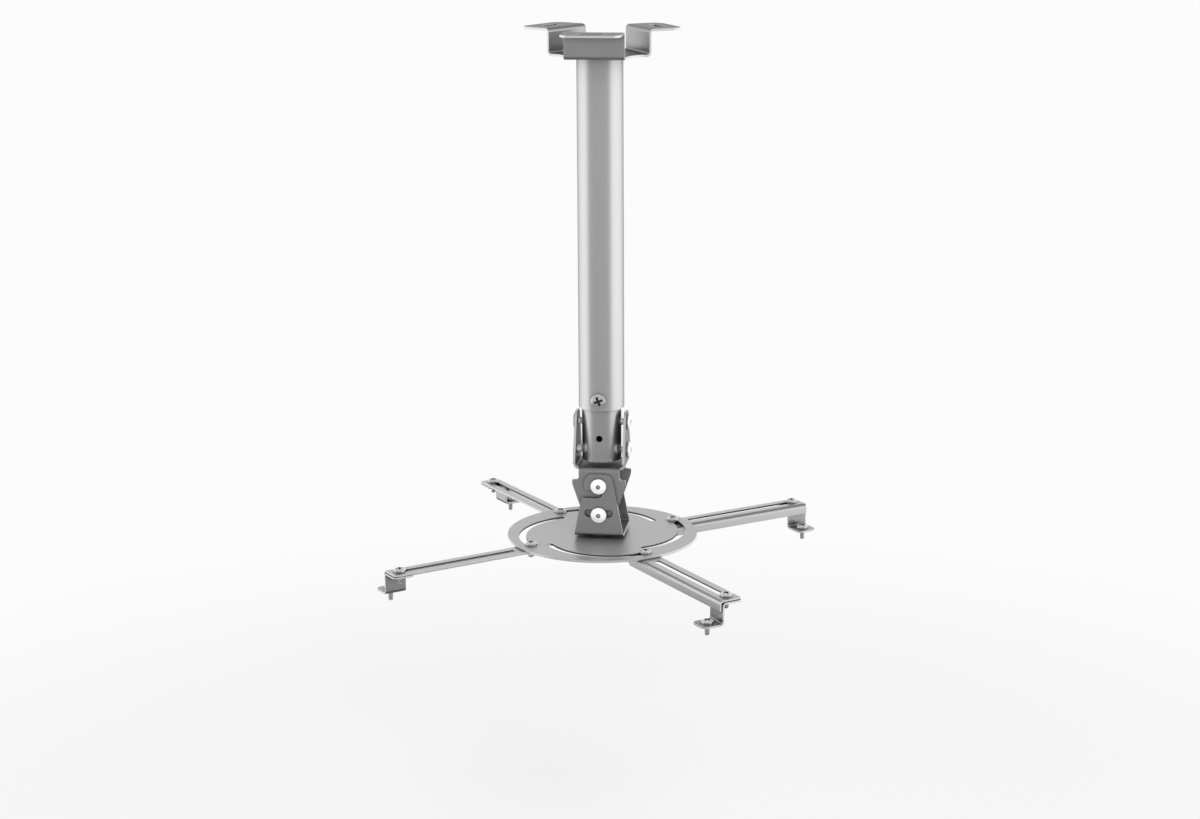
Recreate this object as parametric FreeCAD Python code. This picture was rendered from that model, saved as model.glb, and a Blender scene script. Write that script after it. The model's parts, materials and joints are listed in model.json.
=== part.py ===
"""Ceiling mount for a projector: a folded three-ear ceiling bracket, a telescoping pole,
a cross yoke and a hooked U bracket that tilt and roll, a swivelling disc with four spiral
slots, and four slotted arms, each with a sliding Z foot that screws to the device.

Millimetres. The origin is on the pole's axis in the ceiling plane, +Z is up, and the
front is towards -Y. The mount hangs from z = 0 downwards.
"""
import FreeCAD, Part
import math
import os

V = FreeCAD.Vector
PARTS_FOLDER = "parts"

# Sheets and bends
bracket_sheet = 2.0
arm_sheet = 1.5
bend_inside = 1.6

# Clearances
running_gap = 0.06
slip_gap = 0.1
foot_gap = 0.3
lock_tip_gap = 0.3
nut_seat_gap = 0.05

# Ceiling bracket
ear_count = 3
ear_width = 49.0
ear_wall_reach = 35.0
bracket_height = 22.3
ear_flange_reach = 28.4
ear_corner_radius = 9.0
ceiling_slot_length = 22.0
ceiling_slot_width = 7.0
ceiling_slot_reach = 50.0
hub_edge_hollow = 5.0

# Telescoping pole
pole_radius = 19.0
pole_wall = 1.8
pole_length = 290.9
inner_radius = 16.5
inner_wall = 1.8
inner_length = 300.0
hole_pitch = 33.3
hole_radius = 2.75
first_hole_height = 20.2
hole_count = 8
lock_height = 8.9
lock_head_radius = 6.0
lock_head_height = 3.6

# Large screws, M6
m6_radius = 3.0
m6_flange_radius = 6.9
m6_flange_height = 0.9
m6_dome_radius = 6.5
m6_head_height = 3.3
m6_socket_across = 4.0
m6_socket_depth = 1.8
m6_nut_across = 10.0
m6_nut_height = 5.0
m6_tip_out = 1.0

# Small screws, M5 on the disc and M4 on the feet
m5_radius = 2.5
m5_nut_across = 8.0
m5_nut_height = 4.5
m5_nut_flange_radius = 5.4
m5_nut_flange_height = 1.2
m5_tip_out = 2.0
m4_radius = 2.0
m4_length = 10.0
m4_neck_radius = 1.8
m4_neck_below_tab = 0.2
pan_head_radius = 5.0
pan_head_height = 3.3
recess_depth = 1.9
recess_width = 1.3
recess_reach = 2.7
recess_bottom_share = 1 / 3
head_rim_share = 1 / 3
collar_bevel_share = 1 / 3
button_rim_share = 1 / 4
screw_tip_bevel = 0.5

# Cross yoke, with two ears up beside the tube and two ears down
yoke_half_width = 21.6
up_neck_half_width = 16.6
up_shoulder_half_width = 22.3
up_shoulder_rise = 3.5
up_shoulder_radius = 1.2
up_relief_radius = 1.0
up_ear_rise = 9.4
up_ear_top_half_width = 8.0
up_ear_top_radius = 7.5
side_lock_height = 7.3
side_screw_spacing = 24.3
yoke_base_gap = 4.2
down_ear_face = 20.2
neck_half_width = 17.0
shoulder_half_width = 22.7
shoulder_drop = 10.0
shoulder_radius = 1.4
shoulder_height = 4.5
shoulder_taper = 0.4
ear_side_radius = 10.0
neck_relief_radius = 2.4
hook_screw_drop = 15.0
roll_screw_spacing = 24.8
down_ear_tail = 7.7
down_ear_tail_half_width = 11.0
down_ear_tail_radius = 3.0
m6_hole_clearance = 0.06
arc_slot_width = 6.8
tilt_half_angle = 19.0
roll_half_angle = 19.0
arc_slot_spare_angle = 1.3

# Hooked U bracket under the yoke
u_half_width_foot = 20.9
u_half_width_top = 10.7
u_top_radius = 6.5
u_top_rise = 9.9
u_foot_drop = 18.6
hook_slot_width = 6.8
hook_slot_drop = 6.9
hook_corner_radius = 4.5
hook_mouth_radius = 3.0
hook_throat_radius = 1.1

# Swivel bolt, M8
swivel_radius = 4.0
swivel_head_across = 13.0
swivel_head_height = 5.3
swivel_nut_across = 13.0
swivel_nut_height = 8.0
swivel_washer_radius = 8.5
swivel_washer_height = 1.6
swivel_spacer_radius = 15.0
swivel_spacer_height = 3.0
swivel_tip_out = 2.0

# Disc with spiral slots, each an arc about its own centre beside the pole's axis
disc_radius = 80.0
disc_sheet = 2.0
slot_end_angle = 39.2
disc_slot_reach = 69.3
disc_slot_offset = 13.7
disc_slot_sweep_angle = 97.0
slot_spacing_angle = 90.0
disc_slot_width = 6.0

# Slotted arms, L section, measured outwards from the disc screw
arm_tail = 9.3
arm_length_out = 130.8
arm_free_side = 8.8
arm_bend_side = 11.2
arm_height = 8.7
arm_corner_radius = 2.5
arm_inner_corner_radius = 4.0
arm_slot_width = 5.4
arm_slot_start = 18.4
end_screw_margin = 8.5

# Where each arm rests: slot number, degrees back from the slot's outer end, direction
arm_places = {
    "front_right": (-1, 0.9, -52.4),
    "rear_right": (0, 3.2, 37.1),
    "rear_left": (1, 0.3, 128.7),
    "front_left": (2, 0.3, 218.8),
}

# Z feet
foot_width = 18.5
foot_top_side = 9.0
foot_web_side = 9.0
foot_tab_side = 26.5
foot_height = 18.7
foot_top_corner_radius = 3.0
foot_tab_corner_radius = 5.0
device_screw_side = 17.5

# Heights that follow, from the ceiling down
pole_top = -bracket_height
pole_end = pole_top - pole_length
lock_z = pole_end + lock_height
inner_end = lock_z - hole_pitch - first_hole_height
inner_top = inner_end + inner_length
side_lock_z = inner_end + side_lock_height
tilt_z = side_lock_z + side_screw_spacing
yoke_base_top = inner_end - yoke_base_gap
yoke_base_under = yoke_base_top - bracket_sheet
hook_z = yoke_base_top - hook_screw_drop
roll_lock_z = hook_z - roll_screw_spacing
u_under = roll_lock_z - u_foot_drop
disc_top = u_under - swivel_spacer_height
disc_under = disc_top - disc_sheet
arm_top = disc_under - slip_gap
arm_under = arm_top - arm_sheet
foot_top = arm_under - foot_gap
foot_under = foot_top - foot_height

# Reaches that follow
bend_outside = bend_inside + bracket_sheet
arm_bend_outside = bend_inside + arm_sheet
u_inner_face = down_ear_face + slip_gap
u_outer_face = u_inner_face + bracket_sheet
disc_slot_radius = disc_slot_reach - disc_slot_offset
end_screw_out = arm_length_out - end_screw_margin

# How far cutters run past a face, and how edges are picked for rounding
CUT_PAST = 1.0
NEAR = 0.1
ALONG = 0.99

# Two rounded corners that meet keep this share of their radius, so the arcs stay apart
JUST_SHORT = 0.999


# Outlines and simple solids

def rounded_outline(points):
    """A closed wire in the XY plane through (x, y, radius) corners, each rounded."""
    edges = []
    starts = []
    ends = []
    count = len(points)
    for i, (x, y, radius) in enumerate(points):
        here = V(x, y, 0)
        to_last = (V(*points[i - 1][:2], 0) - here).normalize()
        to_next = (V(*points[(i + 1) % count][:2], 0) - here).normalize()
        if radius <= 0:
            starts.append(here)
            ends.append(here)
            edges.append(None)
            continue
        half = to_last.getAngle(to_next) / 2
        back = radius / math.tan(half)
        middle = (to_last + to_next).normalize()
        centre = here + middle * (radius / math.sin(half))
        starts.append(here + to_last * back)
        ends.append(here + to_next * back)
        edges.append(Part.Arc(starts[i], centre - middle * radius, ends[i]).toShape())
    wire = []
    for i in range(count):
        if edges[i]:
            wire.append(edges[i])
        a = ends[i]
        b = starts[(i + 1) % count]
        if a.distanceToPoint(b) > 1e-6:
            wire.append(Part.LineSegment(a, b).toShape())
    return Part.Wire(wire)


def plate(outline, thickness):
    """A flat plate from z = 0 up to its thickness."""
    return Part.Face(outline).extrude(V(0, 0, thickness))


def stand(shape, origin, across, up):
    """Turn a shape drawn in XY so that its x runs along across and its y along up."""
    normal = across.cross(up)
    turned = FreeCAD.Matrix(
        across.x, up.x, normal.x, origin.x,
        across.y, up.y, normal.y, origin.y,
        across.z, up.z, normal.z, origin.z,
        0, 0, 0, 1)
    moved = shape.copy()
    moved.Placement = FreeCAD.Placement(turned).multiply(moved.Placement)
    return moved


def turned(shape, degrees):
    """The shape turned about the pole's axis."""
    copy = shape.copy()
    copy.rotate(V(0, 0, 0), V(0, 0, 1), degrees)
    return copy


def disc_solid(radius, height, centre, axis=V(0, 0, 1)):
    return Part.makeCylinder(radius, height, centre, axis)


def slot_outline(length, width):
    """A straight slot along x, centred, length measured end to end."""
    half = (length - width) / 2
    radius = width / 2
    low = Part.LineSegment(V(-half, -radius, 0), V(half, -radius, 0)).toShape()
    right = Part.Arc(V(half, -radius, 0), V(half + radius, 0, 0), V(half, radius, 0)).toShape()
    high = Part.LineSegment(V(half, radius, 0), V(-half, radius, 0)).toShape()
    left = Part.Arc(V(-half, radius, 0), V(-half - radius, 0, 0), V(-half, -radius, 0)).toShape()
    return Part.Wire([low, right, high, left])


def arc_slot_outline(radius, from_angle, to_angle, width):
    """A slot that follows an arc about the origin, from one screw place to another."""
    half = width / 2

    def at(r, degrees):
        return V(r * math.cos(math.radians(degrees)), r * math.sin(math.radians(degrees)), 0)

    def cap(angle, sign):
        beyond = at(radius, angle) + at(half, angle + sign * 90)
        return beyond

    middle = (from_angle + to_angle) / 2
    outer = Part.Arc(at(radius + half, from_angle), at(radius + half, middle),
                     at(radius + half, to_angle)).toShape()
    end = Part.Arc(at(radius + half, to_angle), cap(to_angle, 1),
                   at(radius - half, to_angle)).toShape()
    inner = Part.Arc(at(radius - half, to_angle), at(radius - half, middle),
                     at(radius - half, from_angle)).toShape()
    start = Part.Arc(at(radius - half, from_angle), cap(from_angle, -1),
                     at(radius + half, from_angle)).toShape()
    return Part.Wire([outer, end, inner, start])


def rounded_edges(shape, radius, wanted):
    """Fillet the edges whose middle and direction pass the test."""
    found = []
    for edge in shape.Edges:
        if len(edge.Vertexes) < 2:
            continue
        first, last = edge.Vertexes[0].Point, edge.Vertexes[-1].Point
        middle = (first + last) / 2
        along = (last - first)
        if along.Length > 1e-6 and wanted(middle, along.normalize()):
            found.append(edge)
    return shape.makeFillet(radius, found) if found else shape


def tube(outer, wall, low, high):
    body = disc_solid(outer, high - low, V(0, 0, low))
    bore = disc_solid(outer - wall, high - low + 2 * CUT_PAST, V(0, 0, low - CUT_PAST))
    return body.cut(bore)


# Fasteners, drawn upright with the seat of the head at z = 0

def turned_profile(points):
    """A solid of revolution about z from (radius, height) corners."""
    corners = [V(r, 0, z) for r, z in points]
    wire = Part.makePolygon(corners + corners[:1])
    return Part.Face(wire).revolve(V(0, 0, 0), V(0, 0, 1), 360)


def shank(radius, length):
    bevel = screw_tip_bevel
    return turned_profile([(0, 0), (radius, 0), (radius, bevel - length),
                           (radius - bevel, -length), (0, -length)])


def dome(radius, base, height, rim):
    """A pan or button head: a short straight rim under a spherical cap."""
    start = V(radius, 0, base + rim)
    crown = V(0, 0, base + height)
    rise = height - rim
    sphere = (radius * radius + rise * rise) / (2 * rise)
    part_way = math.asin(radius / sphere) / 2
    on_arc = V(sphere * math.sin(part_way), 0, crown.z - sphere + sphere * math.cos(part_way))
    edges = [
        Part.LineSegment(V(0, 0, base), V(radius, 0, base)).toShape(),
        Part.LineSegment(V(radius, 0, base), start).toShape(),
        Part.Arc(start, on_arc, crown).toShape(),
        Part.LineSegment(crown, V(0, 0, base)).toShape(),
    ]
    return Part.Face(Part.Wire(edges)).revolve(V(0, 0, 0), V(0, 0, 1), 360)


def cross_recess(top):
    """A cross-shaped driver recess that narrows towards its bottom."""
    wings = []
    for angle in (0, 90):
        side = -recess_width / 2
        bottom = recess_reach * recess_bottom_share
        outline = Part.makePolygon([V(-bottom, side, top - recess_depth),
                                    V(bottom, side, top - recess_depth),
                                    V(recess_reach, side, top + CUT_PAST),
                                    V(-recess_reach, side, top + CUT_PAST),
                                    V(-bottom, side, top - recess_depth)])
        wing = Part.Face(outline).extrude(V(0, recess_width, 0))
        wings.append(turned(wing, angle))
    return wings[0].fuse(wings[1])


def hexagon(across, low, high):
    corner = across / math.sqrt(3)
    points = [(corner * math.cos(math.radians(60 * i + 30)),
               corner * math.sin(math.radians(60 * i + 30)), 0) for i in range(6)]
    prism = plate(rounded_outline(points), high - low)
    prism.translate(V(0, 0, low))
    return prism


def pan_screw(radius, length, head_radius, head_height):
    """A cross-recess screw with a domed pan head."""
    head = dome(head_radius, 0, head_height, head_height * head_rim_share)
    screw = head.fuse(shank(radius, length)).removeSplitter()
    return screw.cut(cross_recess(head_height))


def button_screw(length):
    """An M6 button screw with a collar under its head and a hexagon socket."""
    collar = disc_solid(m6_flange_radius, m6_flange_height, V(0, 0, 0))
    collar = collar.makeChamfer(m6_flange_height * collar_bevel_share, [collar.Edges[0]])
    button = dome(m6_dome_radius, m6_flange_height, m6_head_height - m6_flange_height,
                  (m6_head_height - m6_flange_height) * button_rim_share)
    screw = collar.fuse([button, shank(m6_radius, length)]).removeSplitter()
    socket = hexagon(m6_socket_across, m6_head_height - m6_socket_depth, m6_head_height + CUT_PAST)
    return screw.cut(socket)


def hex_head(across, height):
    """A solid hexagon below z = 0, its corners bevelled at both ends."""
    corner = across / math.sqrt(3)
    bevel = corner - across / 2
    body = hexagon(across, -height, 0)
    rounding = turned_profile([(0, 0), (across / 2, 0), (corner, -bevel),
                               (corner, bevel - height), (across / 2, -height), (0, -height)])
    return body.common(rounding)


def hex_nut(across, height, bore_radius):
    bore = disc_solid(bore_radius, height + 2 * CUT_PAST, V(0, 0, -height - CUT_PAST))
    return hex_head(across, height).cut(bore)


def flange_nut(across, height, bore_radius, flange_radius, flange_height):
    """A nut below z = 0 with a round flange at its seat."""
    body = hex_nut(across, height, bore_radius)
    ring = disc_solid(flange_radius, flange_height, V(0, 0, -flange_height))
    bore = disc_solid(bore_radius, flange_height + 2 * CUT_PAST, V(0, 0, -flange_height - CUT_PAST))
    return body.fuse(ring.cut(bore)).removeSplitter()


def washer(radius, bore_radius, low, height):
    ring = disc_solid(radius, height, V(0, 0, low))
    return ring.cut(disc_solid(bore_radius, height + 2 * CUT_PAST, V(0, 0, low - CUT_PAST)))


def seat_on(shape, seat, outward):
    """Place a fastener with its head's seat at a point, its head pointing outward."""
    moved = shape.copy()
    rotation = FreeCAD.Rotation(V(0, 0, 1), outward)
    moved.Placement = FreeCAD.Placement(seat, rotation)
    return moved


# Ceiling bracket, one folded sheet

def ceiling_ear():
    """One ear along +X: hub edge, wall up and slotted flange out."""
    wall_in = ear_wall_reach - bracket_sheet
    hub_reach = ear_wall_reach - bend_outside
    flange_end = ear_wall_reach + ear_flange_reach
    outline = rounded_outline([
        (hub_reach, -bracket_height, 0),
        (ear_wall_reach, -bracket_height, bend_outside),
        (ear_wall_reach, -bracket_sheet, bend_inside),
        (flange_end, -bracket_sheet, 0),
        (flange_end, 0, 0),
        (wall_in, 0, bend_outside),
        (wall_in, bracket_sheet - bracket_height, bend_inside),
        (hub_reach, bracket_sheet - bracket_height, 0),
    ])
    strip = stand(plate(outline, ear_width), V(0, ear_width / 2, 0), V(1, 0, 0), V(0, 0, 1))
    strip = rounded_edges(strip, ear_corner_radius,
                          lambda at, way: abs(way.z) > ALONG and at.x > flange_end - NEAR)
    slot = plate(slot_outline(ceiling_slot_length, ceiling_slot_width), bracket_sheet + 2 * CUT_PAST)
    slot = stand(slot, V(ceiling_slot_reach, 0, -bracket_sheet - CUT_PAST), V(0, 1, 0), V(-1, 0, 0))
    return strip.cut(slot)


def hub_plate():
    """The flat middle under which the tube ends, its free edges hollowed between ears."""
    hub_reach = ear_wall_reach - bend_outside
    step = 360.0 / ear_count
    edges = []
    for i in range(ear_count):
        here = FreeCAD.Rotation(V(0, 0, 1), -90 + i * step)
        there = FreeCAD.Rotation(V(0, 0, 1), -90 + (i + 1) * step)
        first = here.multVec(V(hub_reach, -ear_width / 2, 0))
        second = here.multVec(V(hub_reach, ear_width / 2, 0))
        third = there.multVec(V(hub_reach, -ear_width / 2, 0))
        halfway = (second + third) / 2
        inward = halfway - V(halfway).normalize() * hub_edge_hollow
        edges.append(Part.LineSegment(first, second).toShape())
        edges.append(Part.Arc(second, inward, third).toShape())
    hub = Part.Face(Part.Wire(edges)).extrude(V(0, 0, bracket_sheet))
    hub.translate(V(0, 0, -bracket_height))
    return hub


def ceiling_bracket():
    ear = ceiling_ear()
    ears = [turned(ear, -90 + i * 360.0 / ear_count) for i in range(ear_count)]
    return hub_plate().fuse(ears).removeSplitter()


# Pole

def outer_tube():
    pole = tube(pole_radius, pole_wall, pole_end, pole_top)
    hole = disc_solid(m6_radius + running_gap, pole_radius, V(0, 0, lock_z), V(0, -1, 0))
    return pole.cut(hole)


def lock_screw():
    length = pole_radius - inner_radius - lock_tip_gap
    screw = pan_screw(m6_radius, length, lock_head_radius, lock_head_height)
    return seat_on(screw, V(0, -pole_radius, lock_z), V(0, -1, 0))


def inner_tube():
    """The sliding tube, with a row of locking holes in front and four screw holes."""
    body = tube(inner_radius, inner_wall, inner_end, inner_top)
    cuts = []
    for i in range(hole_count):
        at = V(0, 0, inner_end + first_hole_height + i * hole_pitch)
        cuts.append(disc_solid(hole_radius, inner_radius + CUT_PAST, at, V(0, -1, 0)))
    for height in (tilt_z, side_lock_z):
        across = 2 * (inner_radius + CUT_PAST)
        cuts.append(disc_solid(m6_radius + running_gap, across,
                               V(-across / 2, 0, height), V(1, 0, 0)))
    return body.cut(cuts)


def side_nut(side, height):
    """A nut welded inside the tube, its outer face shaped to the tube's bore."""
    bore = inner_radius - inner_wall - nut_seat_gap
    nut = hex_nut(m6_nut_across, m6_nut_height, m6_radius + running_gap)
    corner = m6_nut_across / math.sqrt(3)
    seat = math.sqrt(bore * bore - corner * corner)
    return seat_on(nut, V(side * seat, 0, height), V(side, 0, 0))


def side_nuts():
    """Four welded nuts, one behind each side screw."""
    return Part.Compound([side_nut(side, height)
                          for side in (-1, 1) for height in (tilt_z, side_lock_z)])


def side_screw(side, height):
    """A screw through an up ear and the tube's wall into its welded nut."""
    bore = inner_radius - inner_wall - nut_seat_gap
    corner = m6_nut_across / math.sqrt(3)
    nut_seat = math.sqrt(bore * bore - corner * corner)
    length = yoke_half_width + slip_gap - nut_seat + m6_nut_height + m6_tip_out
    return seat_on(button_screw(length), V(side * (yoke_half_width + slip_gap), 0, height),
                   V(side, 0, 0))


# Cross yoke, one folded sheet

def yoke_base():
    """The flat middle, one bend line towards each ear."""
    x = yoke_half_width - bend_outside
    y = down_ear_face - bend_outside
    return Part.makeBox(2 * x, 2 * y, bracket_sheet, V(-x, -y, yoke_base_under))


def up_ear():
    """The ear on the +X side: necked bend, shoulders and a plate that narrows upwards."""
    inner_face = yoke_half_width - bracket_sheet
    low = yoke_base_top + bend_inside
    bend = rounded_outline([
        (yoke_half_width - bend_outside, yoke_base_under, 0),
        (yoke_half_width, yoke_base_under, bend_outside),
        (yoke_half_width, low, 0),
        (inner_face, low, 0),
        (inner_face, yoke_base_top, bend_inside * JUST_SHORT),
        (yoke_half_width - bend_outside, yoke_base_top, 0),
    ])
    half = up_neck_half_width
    neck = stand(plate(bend, 2 * half), V(0, half, 0), V(1, 0, 0), V(0, 0, 1))
    shoulder = yoke_base_top + up_shoulder_rise
    top = tilt_z + up_ear_rise
    outline = rounded_outline([
        (-half, low, 0),
        (half, low, 0),
        (half, shoulder, up_relief_radius),
        (up_shoulder_half_width, shoulder, up_shoulder_radius),
        (up_ear_top_half_width, top, up_ear_top_radius),
        (-up_ear_top_half_width, top, up_ear_top_radius),
        (-up_shoulder_half_width, shoulder, up_shoulder_radius),
        (-half, shoulder, up_relief_radius),
    ])
    upright = stand(plate(outline, bracket_sheet), V(inner_face, 0, 0), V(0, 1, 0), V(0, 0, 1))
    ear = neck.fuse(upright).removeSplitter()
    reach = bracket_sheet + 2 * CUT_PAST
    hole = disc_solid(m6_radius + m6_hole_clearance, reach, V(inner_face - CUT_PAST, 0, tilt_z), V(1, 0, 0))
    spread = tilt_half_angle + arc_slot_spare_angle
    slot = plate(arc_slot_outline(side_screw_spacing, -90 - spread, -90 + spread, arc_slot_width), reach)
    slot = stand(slot, V(inner_face - CUT_PAST, 0, tilt_z), V(0, 1, 0), V(0, 0, 1))
    return ear.cut([hole, slot])


def down_ear():
    """The ear on the -Y side: necked bend, shoulders and a tapering plate."""
    face = down_ear_face
    inner = face - bracket_sheet
    plate_top = yoke_base_top - bend_outside
    bend = rounded_outline([
        (bend_outside - face, yoke_base_under, 0),
        (-inner, yoke_base_under, bend_inside),
        (-inner, plate_top, 0),
        (-face, plate_top, 0),
        (-face, yoke_base_top, bend_outside),
        (bend_outside - face, yoke_base_top, 0),
    ])
    neck = stand(plate(bend, 2 * neck_half_width), V(-neck_half_width, 0, 0), V(0, 1, 0), V(0, 0, 1))
    shoulder = yoke_base_top - shoulder_drop
    tail = roll_lock_z - down_ear_tail
    outline = rounded_outline([
        (neck_half_width, plate_top, 0),
        (-neck_half_width, plate_top, 0),
        (-neck_half_width, shoulder, neck_relief_radius),
        (-shoulder_half_width, shoulder, shoulder_radius),
        (shoulder_taper - shoulder_half_width, shoulder - shoulder_height, ear_side_radius),
        (-down_ear_tail_half_width, tail, down_ear_tail_radius),
        (down_ear_tail_half_width, tail, down_ear_tail_radius),
        (shoulder_half_width - shoulder_taper, shoulder - shoulder_height, ear_side_radius),
        (shoulder_half_width, shoulder, shoulder_radius),
        (neck_half_width, shoulder, neck_relief_radius),
    ])
    ear = stand(plate(outline, bracket_sheet), V(0, -inner, 0), V(1, 0, 0), V(0, 0, 1))
    holes = [disc_solid(m6_radius + m6_hole_clearance, bracket_sheet + 2 * CUT_PAST,
                        V(0, CUT_PAST - inner, height), V(0, -1, 0)) for height in (hook_z, roll_lock_z)]
    return neck.fuse(ear).removeSplitter().cut(holes)


def cross_yoke():
    right = up_ear()
    front = down_ear()
    body = yoke_base().fuse([right, turned(right, 180), front, turned(front, 180)])
    return body.removeSplitter()


def roll_nut(side, height):
    """A nut welded to the inside of a down ear; side is -1 in front and 1 behind."""
    nut = hex_nut(m6_nut_across, m6_nut_height, m6_radius + running_gap)
    return seat_on(nut, V(0, side * (down_ear_face - bracket_sheet), height), V(0, side, 0))


def roll_nuts():
    return Part.Compound([roll_nut(side, height)
                          for side in (-1, 1) for height in (hook_z, roll_lock_z)])


def roll_screw(side, height):
    """A screw through a U bracket ear and a down ear into its welded nut."""
    seat = u_outer_face + slip_gap
    length = seat - (down_ear_face - bracket_sheet) + m6_nut_height + m6_tip_out
    return seat_on(button_screw(length), V(0, side * seat, height), V(0, side, 0))


# Hooked U bracket, one folded sheet

def hook_cut():
    """The hook slot: in from the left edge, then up to its seat round the upper screw."""
    half = hook_slot_width / 2
    entry = hook_z - hook_slot_drop
    left = -2 * u_half_width_foot
    path = rounded_outline([
        (left, entry + half, 0),
        (-half, entry + half, hook_throat_radius),
        (-half, hook_z + half, half * JUST_SHORT),
        (half, hook_z + half, half * JUST_SHORT),
        (half, entry - half, hook_corner_radius),
        (left, entry - half, 0),
    ])
    depth = 2 * (u_outer_face + CUT_PAST)
    return stand(plate(path, depth), V(0, depth / 2, 0), V(1, 0, 0), V(0, 0, 1))


def lower_u_bracket():
    top = hook_z + u_top_rise
    inside = u_under + bracket_sheet
    profile = rounded_outline([
        (-u_outer_face, top, 0),
        (-u_outer_face, u_under, bend_outside),
        (u_outer_face, u_under, bend_outside),
        (u_outer_face, top, 0),
        (u_inner_face, top, 0),
        (u_inner_face, inside, bend_inside),
        (-u_inner_face, inside, bend_inside),
        (-u_inner_face, top, 0),
    ])
    width = 2 * u_half_width_foot
    bent = stand(plate(profile, width), V(-width / 2, 0, 0), V(0, 1, 0), V(0, 0, 1))
    outline = rounded_outline([
        (-u_half_width_foot, u_under, 0),
        (u_half_width_foot, u_under, 0),
        (u_half_width_top, top, u_top_radius),
        (-u_half_width_top, top, u_top_radius),
    ])
    depth = 2 * (u_outer_face + CUT_PAST)
    taper = stand(plate(outline, depth), V(0, depth / 2, 0), V(1, 0, 0), V(0, 0, 1))
    bracket = bent.common(taper).cut(hook_cut())
    mouth_top = hook_z - hook_slot_drop + hook_slot_width / 2
    mouth_low = mouth_top - hook_slot_width
    bracket = rounded_edges(bracket, hook_mouth_radius, lambda at, way: (
        abs(way.y) > ALONG and at.x < -u_half_width_top
        and min(abs(at.z - mouth_top), abs(at.z - mouth_low)) < NEAR))
    spread = roll_half_angle + arc_slot_spare_angle
    slot = plate(arc_slot_outline(roll_screw_spacing, -90 - spread, -90 + spread, arc_slot_width), depth)
    slot = stand(slot, V(0, depth / 2, hook_z), V(1, 0, 0), V(0, 0, 1))
    bolt_hole = disc_solid(swivel_radius + running_gap, bracket_sheet + 2 * CUT_PAST,
                           V(0, 0, u_under - CUT_PAST))
    return bracket.cut([slot, bolt_hole])


# Swivel

def swivel_bolt():
    """Hexagon bolt, head inside the U bracket, tip below the nut."""
    seat = u_under + bracket_sheet
    end = disc_under - slip_gap - swivel_washer_height - swivel_nut_height - swivel_tip_out
    head = hex_head(swivel_head_across, swivel_head_height)
    head.translate(V(0, 0, swivel_head_height))
    bolt = head.fuse(shank(swivel_radius, seat - end)).removeSplitter()
    bolt.translate(V(0, 0, seat))
    return bolt


def swivel_spacer():
    return washer(swivel_spacer_radius, swivel_radius + running_gap,
                  disc_top + slip_gap, swivel_spacer_height - slip_gap)


def swivel_washer():
    return washer(swivel_washer_radius, swivel_radius + running_gap,
                  disc_under - slip_gap - swivel_washer_height, swivel_washer_height)


def swivel_nut():
    nut = hex_nut(swivel_nut_across, swivel_nut_height, swivel_radius + running_gap)
    nut.translate(V(0, 0, disc_under - slip_gap - swivel_washer_height))
    return nut


# Disc

def spiral_slot():
    """One slot with its outer end at azimuth 0, curving clockwise and inwards."""
    outline = arc_slot_outline(disc_slot_radius, -disc_slot_sweep_angle, 0, disc_slot_width)
    cut = plate(outline, disc_sheet + 2 * CUT_PAST)
    cut.translate(V(disc_slot_offset, 0, disc_under - CUT_PAST))
    return cut


def disc():
    body = disc_solid(disc_radius, disc_sheet, V(0, 0, disc_under))
    cuts = [turned(spiral_slot(), slot_end_angle + i * slot_spacing_angle) for i in range(4)]
    cuts.append(disc_solid(swivel_radius + running_gap, disc_sheet + 2 * CUT_PAST,
                           V(0, 0, disc_under - CUT_PAST)))
    return body.cut(cuts)


# Arms and feet, drawn along +X from the disc screw, with the bent side towards -Y

def arm():
    profile = rounded_outline([
        (arm_free_side, arm_top, 0),
        (-arm_bend_side, arm_top, arm_bend_outside),
        (-arm_bend_side, arm_top - arm_height, 0),
        (arm_sheet - arm_bend_side, arm_top - arm_height, 0),
        (arm_sheet - arm_bend_side, arm_under, bend_inside),
        (arm_free_side, arm_under, 0),
    ])
    body = stand(plate(profile, arm_tail + arm_length_out), V(-arm_tail, 0, 0), V(0, 1, 0), V(0, 0, 1))
    body = rounded_edges(body, arm_corner_radius, lambda at, way: (
        abs(way.z) > ALONG and at.y > arm_free_side - NEAR))
    body = rounded_edges(body, arm_inner_corner_radius, lambda at, way: (
        abs(way.y) > ALONG and at.z < arm_top - arm_height + NEAR and at.x < 0))
    reach = arm_sheet + 2 * CUT_PAST
    slot_length = end_screw_out - arm_slot_start + arm_slot_width
    slot = plate(slot_outline(slot_length, arm_slot_width), reach)
    slot.translate(V((arm_slot_start + end_screw_out) / 2, 0, arm_under - CUT_PAST))
    hole = disc_solid(m5_radius + running_gap, reach, V(0, 0, arm_under - CUT_PAST))
    return body.cut([slot, hole])


def disc_screw():
    """Screw down through the disc's slot and the arm into its flange nut."""
    seat = disc_top + slip_gap
    length = seat - arm_under + slip_gap + m5_nut_height + m5_tip_out
    screw = pan_screw(m5_radius, length, pan_head_radius, pan_head_height)
    screw.translate(V(0, 0, seat))
    return screw


def disc_screw_nut():
    nut = flange_nut(m5_nut_across, m5_nut_height, m5_radius + running_gap,
                     m5_nut_flange_radius, m5_nut_flange_height)
    nut.translate(V(0, 0, arm_under - slip_gap))
    return nut


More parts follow.
